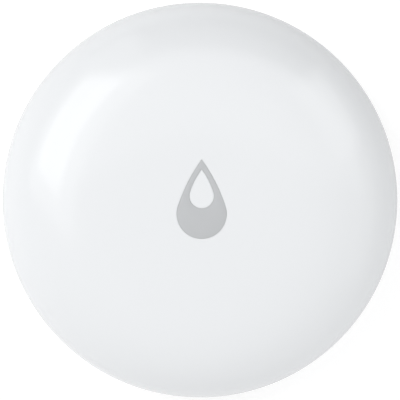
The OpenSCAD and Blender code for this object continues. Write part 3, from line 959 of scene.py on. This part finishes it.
@dataclass
class CapShell:
    """The domed cap, with its bore, snap beads, press post and the pocket for the drop.

    The crown is turned down to the patch's radius, and the patch is filled round the drop.
    """

    outline: PuckOutline
    plan: DropPlan
    wall: float = 1.7 * MM
    slide_gap: float = 0.06 * MM
    bore_room: float = 0.6 * MM
    post_r: float = 2.5 * MM
    post_round: float = 0.2 * MM
    press_gap: float = 0.03 * MM
    rim_round: float = 0.3 * MM
    bead_count: int = 3
    bead_start: int = 90
    bead_degrees: int = 36
    bead_lift: float = 0.25 * MM
    bead_h: float = 0.6 * MM
    bead_depth: float = 0.45 * MM
    patch_r: float = 7.0 * MM
    patch_cuts: int = 3
    pocket_gap: float = 0.02 * MM
    step_degrees: int = 2
    crown_steps: int = 72
    skirt_steps: int = 10
    inside_steps: int = 30

    def profile(self, beaded: bool) -> list[Turn]:
        """Profile from the crown over the shoulder, round the rim and up inside to the post.

        Args:
            beaded: Whether the bore has a snap bead here.

        Returns:
            The profile's points.
        """
        shape = self.outline
        bore_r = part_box("chassis")[1].x + self.slide_gap
        bore_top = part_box("chassis")[1].z + self.bore_room
        post_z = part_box("switch_plunger")[1].z + self.press_gap
        inside_top = shape.top_z - self.wall
        bead_z = shape.rim_z + self.bead_lift
        outside = shape.dome(shape.body_r, self.patch_r, shape.equator_z,
                             shape.top_z - shape.equator_z, self.crown_steps)
        skirt = shape.side(shape.equator_z, shape.rim_z, self.skirt_steps)[1:]
        rim = [Turn(skirt[-1].r, skirt[-1].z, self.rim_round),
               Turn(bore_r, shape.rim_z, self.rim_round / 3)]
        bead = [Turn(bore_r, bead_z), Turn(bore_r, bead_z + self.bead_h)]
        if beaded:
            inner_r = bore_r - self.bead_depth
            bead[1:1] = [Turn(inner_r, bead_z + self.bead_h / 2),
                         Turn(inner_r, bead_z + self.bead_h)]
        inside = shape.dome(bore_r, self.post_r, bore_top, inside_top - bore_top,
                            self.inside_steps)[::-1]
        post = [Turn(self.post_r, post_z, self.post_round), Turn(0.0, post_z)]
        return trace(outside + skirt[:-1] + rim + bead + inside + post)

    def cut_pocket(self, bm: Mesh) -> None:
        """Closes the crown round the drop and sinks the drop's pocket into it.

        Args:
            bm: The cap's mesh, open at the crown.
        """
        shape = self.outline
        crown = open_edges(bm, shape.crown_z(self.patch_r))
        plans = (self.plan.outer(self.pocket_gap), self.plan.window(-self.pocket_gap))
        loops = [add_loop(bm, shape.on_crown(points)) for points in plans]
        rim = crown + loops[0]
        bridge = bmesh.ops.bridge_loops(bm, edges=rim)
        spokes = {e for f in bridge["faces"] for e in f.edges} - set(rim)
        cut = bmesh.ops.subdivide_edges(bm, edges=list(spokes), cuts=self.patch_cuts,
                                        use_grid_fill=True)
        for vert in verts_of(cut["geom_inner"]):
            vert.co.z = shape.crown_z(math.hypot(vert.co.x, vert.co.y))
        bmesh.ops.triangle_fill(bm, use_beauty=True, edges=loops[1])
        sunk = []
        for loop in loops:
            walls = bmesh.ops.extrude_edge_only(bm, edges=loop)["geom"]
            for vert in verts_of(walls):
                vert.co.z = shape.top_z - self.plan.depth
            sunk += [e for e in walls if isinstance(e, Edge) and len(e.link_faces) == 1]
        bmesh.ops.triangle_fill(bm, use_beauty=True, edges=sunk)

    def build(self, shop: Workshop) -> None:
        """Models the cap, sector by sector, and hands it over.

        Args:
            shop: The workshop that takes it.
        """
        bm = bmesh.new()
        share = 360 // self.bead_count
        plain = share - self.bead_degrees
        for i in range(self.bead_count):
            first = self.bead_start + share * i - self.bead_degrees / 2
            for beaded, begin, sweep in ((True, first, self.bead_degrees),
                                         (False, first + self.bead_degrees, plain)):
                spin_profile(bm, self.profile(beaded), sweep // self.step_degrees,
                             start=math.radians(begin), angle=math.radians(sweep))
        weld(bm)
        crown = set(open_edges(bm, self.outline.crown_z(self.patch_r)))
        ends = [e for e in bm.edges if len(e.link_faces) == 1 and e not in crown]
        bmesh.ops.holes_fill(bm, edges=ends, sides=4)
        self.cut_pocket(bm)
        weld(bm)
        shop.piece("cap_shell", bm, "cap_white", Body.CAP, ["cap"])


@dataclass
class DropInlay:
    """The grey drop let into the crown, flush with it."""

    outline: PuckOutline
    plan: DropPlan
    edge_round: float = 0.015 * MM

    def build(self, shop: Workshop) -> None:
        """Models the mark and hands it over.

        Args:
            shop: The workshop that takes it.
        """
        bm = bmesh.new()
        edges = []
        for points in (self.plan.outer(0.0), self.plan.window(0.0)):
            edges += add_loop(bm, self.outline.on_crown(points))
        face = bmesh.ops.triangle_fill(bm, use_beauty=True, edges=edges)["geom"]
        top = [f for f in face if isinstance(f, bmesh.types.BMFace)]
        grown = bmesh.ops.extrude_face_region(bm, geom=top, use_keep_orig=True)["geom"]
        for vert in verts_of(grown):
            vert.co.z = self.outline.top_z - self.plan.depth
        weld(bm)
        lip = [e for e in edges if e.is_valid]
        bmesh.ops.bevel(bm, geom=lip, offset=self.edge_round, offset_type="OFFSET",
                        affect="EDGES", segments=2, profile=0.5, material=-1, clamp_overlap=True)
        shop.piece("drop_inlay", bm, "mark_grey", Body.CAP, ["drop_mark"])


@dataclass
class ProbeScrew:
    """A domed steel screw whose head is one of the two water probes."""

    side: str
    dome_h: float = 0.85 * MM
    head_h: float = 1.3 * MM
    head_round: float = 0.12 * MM
    thread_d: float = 2.94 * MM
    thread_depth: float = 0.275 * MM
    thread_pitch: float = 0.5 * MM
    cross_w: float = 0.8 * MM
    cross_l: float = 3.2 * MM
    cross_depth: float = 0.7 * MM
    cross_taper: float = 0.12 * MM
    dome_steps: int = 24
    spin_steps: int = 96

    def __post_init__(self) -> None:
        """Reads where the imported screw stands."""
        low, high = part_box(f"probe_screw_{self.side}")
        self.x = (low.x + high.x) / 2
        self.head_r = (high.x - low.x) / 2
        self.tip_z = high.z
        self.low_z = low.z
        self.seat_z = low.z + self.head_h

    def profile(self) -> list[Turn]:
        """Profile from the head's middle over its edge and up the thread to the tip.

        Returns:
            The profile's points.
        """
        points = []
        for i in range(self.dome_steps + 1):
            t = math.pi / 2 * i / self.dome_steps
            z = self.low_z + self.dome_h * (1 - math.cos(t))
            points.append(Turn(self.head_r * math.sin(t), z))
        crest = self.thread_d / 2
        count = int((self.tip_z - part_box("probe_insert_right")[0].z) / self.thread_pitch)
        first = self.tip_z - count * self.thread_pitch
        points += [Turn(self.head_r, self.seat_z, self.head_round), Turn(crest, self.seat_z),
                   Turn(crest, first)]
        for i in range(count):
            root_z = first + (i + 0.5) * self.thread_pitch
            points.append(Turn(crest - self.thread_depth, root_z))
            points.append(Turn(crest, first + (i + 1) * self.thread_pitch))
        return trace(points + [Turn(0.0, self.tip_z)])

    def cut_cross(self, bm: Mesh) -> None:
        """Sinks the cross recess for a screwdriver into the head's dome.

        Args:
            bm: The screw's mesh.
        """
        middle = Vector((self.x, 0.0, 0.0))
        angles = (math.pi / 4, 3 * math.pi / 4)
        arms = [Vector((math.cos(a), math.sin(a), 0.0)) for a in angles]
        half_w, half_l = self.cross_w / 2, self.cross_l / 2
        top = self.low_z + self.dome_h / 2

        def dome_faces() -> list[bmesh.types.BMFace]:
            """Faces of the head's dome near its middle."""
            return [f for f in bm.faces if f.calc_center_median().z < top]

        for arm in arms:
            for offset in (half_w, -half_w, half_l, -half_l):
                faces = dome_faces()
                edges = list({e for f in faces for e in f.edges})
                verts = list({v for f in faces for v in f.verts})
                bmesh.ops.bisect_plane(bm, geom=verts + edges + faces, dist=WELD,
                                       plane_co=middle + arm * offset, plane_no=arm)
        inside = []
        for face in dome_faces():
            from_middle = face.calc_center_median() - middle
            u, v = (abs(from_middle.dot(arm)) for arm in arms)
            if min(u, v) < half_w and max(u, v) < half_l:
                inside.append(face)
        bmesh.ops.inset_region(bm, faces=inside, thickness=self.cross_taper, depth=0.0,
                               use_even_offset=True, use_boundary=True)
        for vert in {v for f in inside for v in f.verts}:
            vert.co.z = self.low_z + self.cross_depth

    def build(self, shop: Workshop) -> None:
        """Models the screw and hands it over.

        Args:
            shop: The workshop that takes it.
        """
        bm = bmesh.new()
        spin_profile(bm, self.profile(), self.spin_steps, axis_at=(self.x, 0.0))
        weld(bm)
        self.cut_cross(bm)
        weld(bm)
        name = f"probe_{self.side}"
        shop.piece(name, bm, "probe_steel", Body.BASE, [f"probe_screw_{self.side}"])


@dataclass
class BaseShell:
    """The dish under the puck, with feet, probe wells and a bare label recess."""

    outline: PuckOutline
    probes: Sequence[ProbeScrew]
    nest_gap: float = 0.15 * MM
    floor_t: float = 1.5 * MM
    rim_round: float = 0.25 * MM
    foot_r: float = 1.8 * MM
    foot_edge: float = 1.2 * MM
    foot_round: float = 0.25 * MM
    foot_count: int = 4
    label_r: float = 10.5 * MM
    label_depth: float = 0.2 * MM
    head_gap: float = 0.3 * MM
    shank_r: float = 1.59 * MM
    seal_gap: float = 0.02 * MM
    boss_wall: float = 0.5 * MM
    edge_round: float = 0.08 * MM
    side_steps: int = 28
    wall_spin: int = 180
    label_spin: int = 96
    foot_spin: int = 40
    well_spin: int = 56

    def wall(self) -> list[Turn]:
        """Profile of the outer wall, from the underside over the rim to the inner floor.

        Returns:
            The profile's points.
        """
        shape = self.outline
        nest_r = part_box("chassis")[1].x + self.nest_gap
        side = shape.side(shape.face_z, shape.seam_z, self.side_steps)
        rim = [Turn(side[-1].r, side[-1].z, self.rim_round),
               Turn(nest_r, shape.seam_z, self.rim_round / 2)]
        return trace(side[:-1] + rim + [Turn(nest_r, shape.face_z + self.floor_t)])

    def foot(self) -> list[Turn]:
        """Profile of a foot, from the flat underside down to the floor.

        Returns:
            The profile's points.
        """
        face_z = self.outline.face_z
        flare = self.foot_round / 2
        return trace([
            Turn(self.foot_r + flare, face_z),
            Turn(self.foot_r, face_z, flare),
            Turn(self.foot_r, 0.0, self.foot_round),
            Turn(0.0, 0.0),
        ])

    def label(self) -> list[Turn]:
        """Profile of the label recess.

        Returns:
            The profile's points.
        """
        face_z = self.outline.face_z
        deep_z = face_z + self.label_depth
        return trace([
            Turn(self.label_r + self.edge_round, face_z),
            Turn(self.label_r, face_z, self.edge_round),
            Turn(self.label_r, deep_z),
            Turn(0.0, deep_z),
        ])

    def well(self, head_r: float, seat_z: float) -> list[Turn]:
        """Profile of a probe's well: counterbore, seal recess, shank hole and the boss inside.

        Args:
            head_r: Radius of the probe's head.
            seat_z: Height of the face that the head sits on.

        Returns:
            The profile's points.
        """
        face_z = self.outline.face_z
        seal_low, seal_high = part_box("probe_seal_right")
        insert_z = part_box("probe_insert_right")[0].z
        seal_r = (seal_high.x - seal_low.x) / 2 + self.seal_gap
        well_r = head_r + self.head_gap
        recess_z = seal_high.z + self.seal_gap / 2
        boss_r = seal_r + self.boss_wall
        return trace([
            Turn(well_r + self.edge_round, face_z),
            Turn(well_r, face_z, self.edge_round),
            Turn(well_r, seat_z),
            Turn(seal_r, seat_z, self.edge_round),
            Turn(seal_r, recess_z),
            Turn(self.shank_r, recess_z),
            Turn(self.shank_r, insert_z),
            Turn(boss_r, insert_z),
            Turn(boss_r, face_z + self.floor_t),
        ])

    def build(self, shop: Workshop) -> None:
        """Models the base and hands it over.

        Args:
            shop: The workshop that takes it.
        """
        bm = bmesh.new()
        shape = self.outline
        spin_profile(bm, self.wall(), self.wall_spin)
        spin_profile(bm, self.label(), self.label_spin)
        reach = shape.face_r - self.foot_edge - self.foot_r
        for i in range(self.foot_count):
            a = math.tau * (i + 0.5) / self.foot_count
            spin_profile(bm, self.foot(), self.foot_spin,
                         axis_at=(reach * math.cos(a), reach * math.sin(a)))
        for probe in self.probes:
            spin_profile(bm, self.well(probe.head_r, probe.seat_z), self.well_spin,
                         axis_at=(probe.x, 0.0))
        weld(bm)
        close_level(bm, shape.face_z)
        close_level(bm, shape.face_z + self.floor_t)
        weld(bm)
        shop.piece("base_shell", bm, "base_white", Body.BASE, ["base_cover"])


@dataclass
class ClickDome:
    """The thin steel dome under the plunger. Pressed, it would keep a share of its height; here it
    stays at rest.
    """

    sheet: float = 0.1 * MM
    kept_share: float = 0.42
    arc_steps: int = 14
    spin_steps: int = 64

    def build(self, shop: Workshop) -> None:
        """Models the dome and hands it over.

        Args:
            shop: The workshop that takes it.
        """
        low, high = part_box("snap_dome")
        radius = (high.x - low.x) / 2
        rise = high.z - low.z
        upper, under = [], []
        for i in range(self.arc_steps + 1):
            r = radius * i / self.arc_steps
            z = high.z - rise * (i / self.arc_steps) ** 2
            upper.append(Turn(r, z))
            under.append(Turn(r * (radius - self.sheet) / radius, max(low.z, z - self.sheet)))
        bm = bmesh.new()
        spin_profile(bm, upper + under[::-1], self.spin_steps)
        weld(bm)
        dome = shop.piece("click_dome", bm, "small_steel", Body.BASE, ["snap_dome"])
        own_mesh(dome)


@dataclass
class Innards:
    """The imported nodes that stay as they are, each with its own finish."""

    frame: dict
    special: dict[str, str]

    def dress(self, shop: Workshop) -> None:
        """Gives every shown node the material of its slot, or its own where it has one.

        Args:
            shop: The workshop that makes the materials.
        """
        subparts = self.frame["record"]["subparts"]
        slots = {part["node"]: part["material_slot"] for part in subparts}
        for name, node in self.frame["nodes"].items():
            if node.hide_render:
                continue
            finish = self.special.get(name, slots[name])
            node.data.materials.clear()
            node.data.materials.append(shop.material(finish))
            LOG.info("%s: dressed as %s", name, finish)


# Studio


@dataclass(frozen=True)
class SoftBox:
    """A flat studio light, set by how bright its face is, which gloss may mirror or not."""

    name: str
    at: Place
    aim: Place
    size: Point
    glow: float
    mirrored: bool = True

    def build(self) -> None:
        """Hangs the light."""
        lamp = bpy.data.lights.new(self.name, "AREA")
        lamp.shape = "RECTANGLE"
        lamp.size, lamp.size_y = self.size
        lamp.energy = self.glow * math.pi * self.size[0] * self.size[1]
        obj = bpy.data.objects.new(self.name, lamp)
        obj.location = self.at
        obj.rotation_mode = "QUATERNION"
        obj.rotation_quaternion = (Vector(self.aim) - Vector(self.at)).to_track_quat("-Z", "Y")
        obj.visible_camera = False
        obj.visible_glossy = self.mirrored
        bpy.context.scene.collection.objects.link(obj)


def seen_by_eye(wiring: Wiring) -> Socket:
    """Tells rays that show the background from rays that only light the object.

    Args:
        wiring: The tree to add the nodes to.

    Returns:
        A socket that is 1 for the camera's own rays and for those through gloss and glass.
    """
    path = wiring.add("ShaderNodeLightPath")
    seen = path.outputs["Is Camera Ray"]
    for kind in ("Is Glossy Ray", "Is Transmission Ray"):
        seen = wiring.maths("MAXIMUM", seen, path.outputs[kind])
    return seen


def set_stage(name: str, bm: Mesh, material: Material) -> bpy.types.Object:
    """Puts a mesh of the stage, which isn't part of the object, into the scene as a plain object.

    Args:
        name: The piece's name.
        bm: Its finished mesh, which is freed.
        material: Its material.

    Returns:
        The new object.
    """
    obj = make_object(name, bm, material)
    return obj


@dataclass
class Studio:
    """The pale table, the light and the camera that looks straight down.

    The table lights the puck's lower edge, more on one side, as the lean says. To the eye it has a
    painted shadow under the puck, a dimmer glow that only the camera sees, and is plain white
    further off.
    """

    outline: PuckOutline
    camera_height: float = 1.6
    camera_lean: Point = (-0.0223, -0.0117)
    disc_share: float = 0.987
    sensor: float = 36.0
    floor_half: float = 3.0
    floor_shift: Point = (0.9, 0.3)
    floor_drop: float = 0.02 * MM
    floor_tone: float = 0.56
    floor_roughness: float = 0.9
    floor_glow: float = 0.345
    floor_lean: Point = (-0.15, -0.055)
    lean_reach: float = 40 * MM
    floor_lift: float = 0.225
    under_glow: float = 0.52
    # Glow that the camera alone sees under the puck: a painted contact shadow
    under_painted_shadow: float = 0.1
    under_reach: Point = (19 * MM, 23 * MM)
    shadow_reach: Point = (26 * MM, 44 * MM)
    mirror_reach: Point = (60 * MM, 160 * MM)
    ambient: float = 0.51
    card_at: Place = (0.088, 0.35, 0.16)
    card_size: Point = (0.433, 0.32)
    card_fold: float = 0.264
    fold_rise: float = 1 * MM
    card_tone: float = 0.15
    boxes: tuple[SoftBox, ...] = (
        SoftBox("key", (-0.458, 0.235, 0.475), (0.0, 0.0, 0.0), (0.608, 0.681), 0.94),
        SoftBox("key_core", (-0.453, 0.268, 0.462), (0.0, 0.0, 0.0), (0.439, 0.395), 1.81),
        SoftBox("right_fill", (0.565, 0.231, 0.343), (0.0, 0.0, 0.0), (1.40, 0.395), 0.39),
        SoftBox("right_core", (0.473, 0.302, 0.419), (0.0, 0.0, 0.0), (0.297, 0.465), 0.82),
        SoftBox("overhead", (0.319, 0.334, 0.70), (0.319, 0.334, 0.0), (1.741, 0.55), 0.50),
        SoftBox("front_fill", (0.192, -1.022, 0.74), (0.008, -0.039, 0.74), (2.573, 1.481), 0.505,
                mirrored=False),
    )

    def lay_floor(self) -> None:
        """Lays a white table that takes the shadow and is clear from below."""
        bm = bmesh.new()
        bmesh.ops.create_grid(bm, x_segments=1, y_segments=1, size=self.floor_half)
        bmesh.ops.translate(bm, vec=(*self.floor_shift, -self.floor_drop), verts=bm.verts)
        set_stage("studio_floor", bm, self.floor_material())

    def table_glow(self, wiring: Wiring, place: Socket, reach: Socket, eye: Socket) -> Socket:
        """Wires the table's glow: a painted shadow to the eye under the object, pale to the object
        itself.

        Args:
            wiring: The table's tree.
            place: Place on the table.
            reach: Distance from its middle.
            eye: 1 for the camera's own rays.

        Returns:
            The strength.
        """
        slope = wiring.add("ShaderNodeVectorMath", {0: place, 1: (*self.floor_lean, 0.0)},
                           operation="DOT_PRODUCT")
        swing = math.hypot(*self.floor_lean)
        uneven = wiring.add("ShaderNodeMapRange", {
            "Value": slope.outputs["Value"],
            "From Min": -swing * self.lean_reach,
            "From Max": swing * self.lean_reach,
            "To Min": self.floor_glow - swing,
            "To Max": self.floor_glow + swing,
        })
        outside = wiring.rise(reach, *self.under_reach)
        cast = wiring.spread(outside, self.under_glow, uneven.outputs["Result"])
        # To the camera: a painted shadow under the puck, the lifted glow further out
        shown = wiring.spread(outside, self.under_painted_shadow, self.floor_glow + self.floor_lift)
        return wiring.spread(eye, cast, shown)

    def floor_material(self) -> Material:
        """Makes the table's material: lit from within, and clear where it is seen from below.

        Returns:
            The material. Near the object it shows the shadow, further off it is plain white.
        """
        material, wiring, table = new_material("studio_table")
        place = wiring.place()
        eye = wiring.add("ShaderNodeLightPath").outputs["Is Camera Ray"]
        reach = wiring.add("ShaderNodeVectorMath", {0: place}, operation="LENGTH").outputs["Value"]
        wiring.feed(table, {
            "Base Color": grey(self.floor_tone),
            "Roughness": self.floor_roughness,
            "Specular IOR Level": 0.0,
            "Emission Color": grey(1.0),
            "Emission Strength": self.table_glow(wiring, place, reach, eye),
        })
        shown = wiring.maths("MULTIPLY", wiring.rise(reach, *self.shadow_reach), eye)
        mirror = wiring.rise(reach, *self.mirror_reach)
        mirrored = wiring.maths("MULTIPLY", mirror, seen_by_eye(wiring))
        far = wiring.maths("MAXIMUM", shown, mirrored)
        white = wiring.add("ShaderNodeEmission").outputs["Emission"]
        top = wiring.blend(far, table.outputs["BSDF"], white)
        below = wiring.add("ShaderNodeNewGeometry").outputs["Backfacing"]
        clear = wiring.add("ShaderNodeBsdfTransparent").outputs["BSDF"]
        surface = wiring.blend(below, top, clear)
        wiring.feed(material.node_tree.nodes["Material Output"], {"Surface": surface})
        return material

    def stand_card(self) -> None:
        """Stands a dark card behind the object, folded forward, to draw its far edge."""
        width, height = self.card_size
        bm = bmesh.new()
        bmesh.ops.create_grid(bm, x_segments=1, y_segments=1, size=0.5)
        bmesh.ops.scale(bm, vec=(width, height, 1.0), verts=bm.verts)
        bmesh.ops.rotate(bm, matrix=Matrix.Rotation(math.pi / 2, 3, "X"), verts=bm.verts)
        bmesh.ops.translate(bm, vec=self.card_at, verts=bm.verts)
        foot_z = self.card_at[2] - height / 2
        foot = [e for e in bm.edges if all(abs(v.co.z - foot_z) < WELD for v in e.verts)]
        front = verts_of(bmesh.ops.extrude_edge_only(bm, edges=foot)["geom"])
        bmesh.ops.translate(bm, vec=(0.0, -self.card_fold, self.fold_rise), verts=front)
        material, wiring, shader = new_material("card_black")
        wiring.feed(shader, {"Base Color": grey(self.card_tone), "Roughness": 1.0})
        set_stage("studio_card", bm, material).visible_camera = False

    def fill_air(self) -> None:
        """Lights the room softly, and shows it white to the eye and in reflections."""
        world = bpy.data.worlds.new("studio_air")
        bpy.context.scene.world = world
        world.use_nodes = True
        wiring = Wiring(world.node_tree)
        strength = wiring.spread(seen_by_eye(wiring), self.ambient, 1.0)
        ground = world.node_tree.nodes["Background"]
        wiring.feed(ground, {"Color": grey(1.0), "Strength": strength})

    def set_camera(self) -> None:
        """Sets the camera straight above, with the puck as wide as in the photograph."""
        camera = bpy.data.cameras.new("photo_view")
        camera.sensor_width = self.sensor
        depth = self.camera_height - self.outline.equator_z
        camera.lens = self.sensor / 2 * self.disc_share * depth / self.outline.body_r
        obj = bpy.data.objects.new("photo_view", camera)
        middle = Vector((0.0, 0.0, self.outline.equator_z))
        away = Vector((*self.camera_lean, 1.0)).normalized()
        obj.location = middle + away * depth
        across = Vector((0.0, 1.0, 0.0)).cross(away).normalized()
        obj.rotation_euler = Matrix((across, away.cross(across), away)).transposed().to_euler()
        bpy.context.scene.collection.objects.link(obj)
        bpy.context.scene.camera = obj

    def build(self) -> None:
        """Builds the studio round the object."""
        bpy.context.scene.view_settings.view_transform = "Standard"
        self.lay_floor()
        self.stand_card()
        self.fill_air()
        for box in self.boxes:
            box.build()
        self.set_camera()


def main() -> None:
    """Builds the pieces in order, dresses the rest and sets the studio."""
    logging.basicConfig(level=logging.INFO, format="%(name)s: %(message)s")
    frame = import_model()
    outline = PuckOutline.from_frame()
    plan = DropPlan.from_frame()
    left, right = ProbeScrew("left"), ProbeScrew("right")
    shop = Workshop(make_finishes(right.x), Groups())
    Studio(outline).build()
    CapShell(outline, plan).build(shop)
    DropInlay(outline, plan).build(shop)
    BaseShell(outline, (left, right)).build(shop)
    for probe in (left, right):
        probe.build(shop)
    ClickDome().build(shop)
    Innards(frame, {"chip_resistors": "resistor_black"}).dress(shop)


if __name__ == "__main__":
    main()
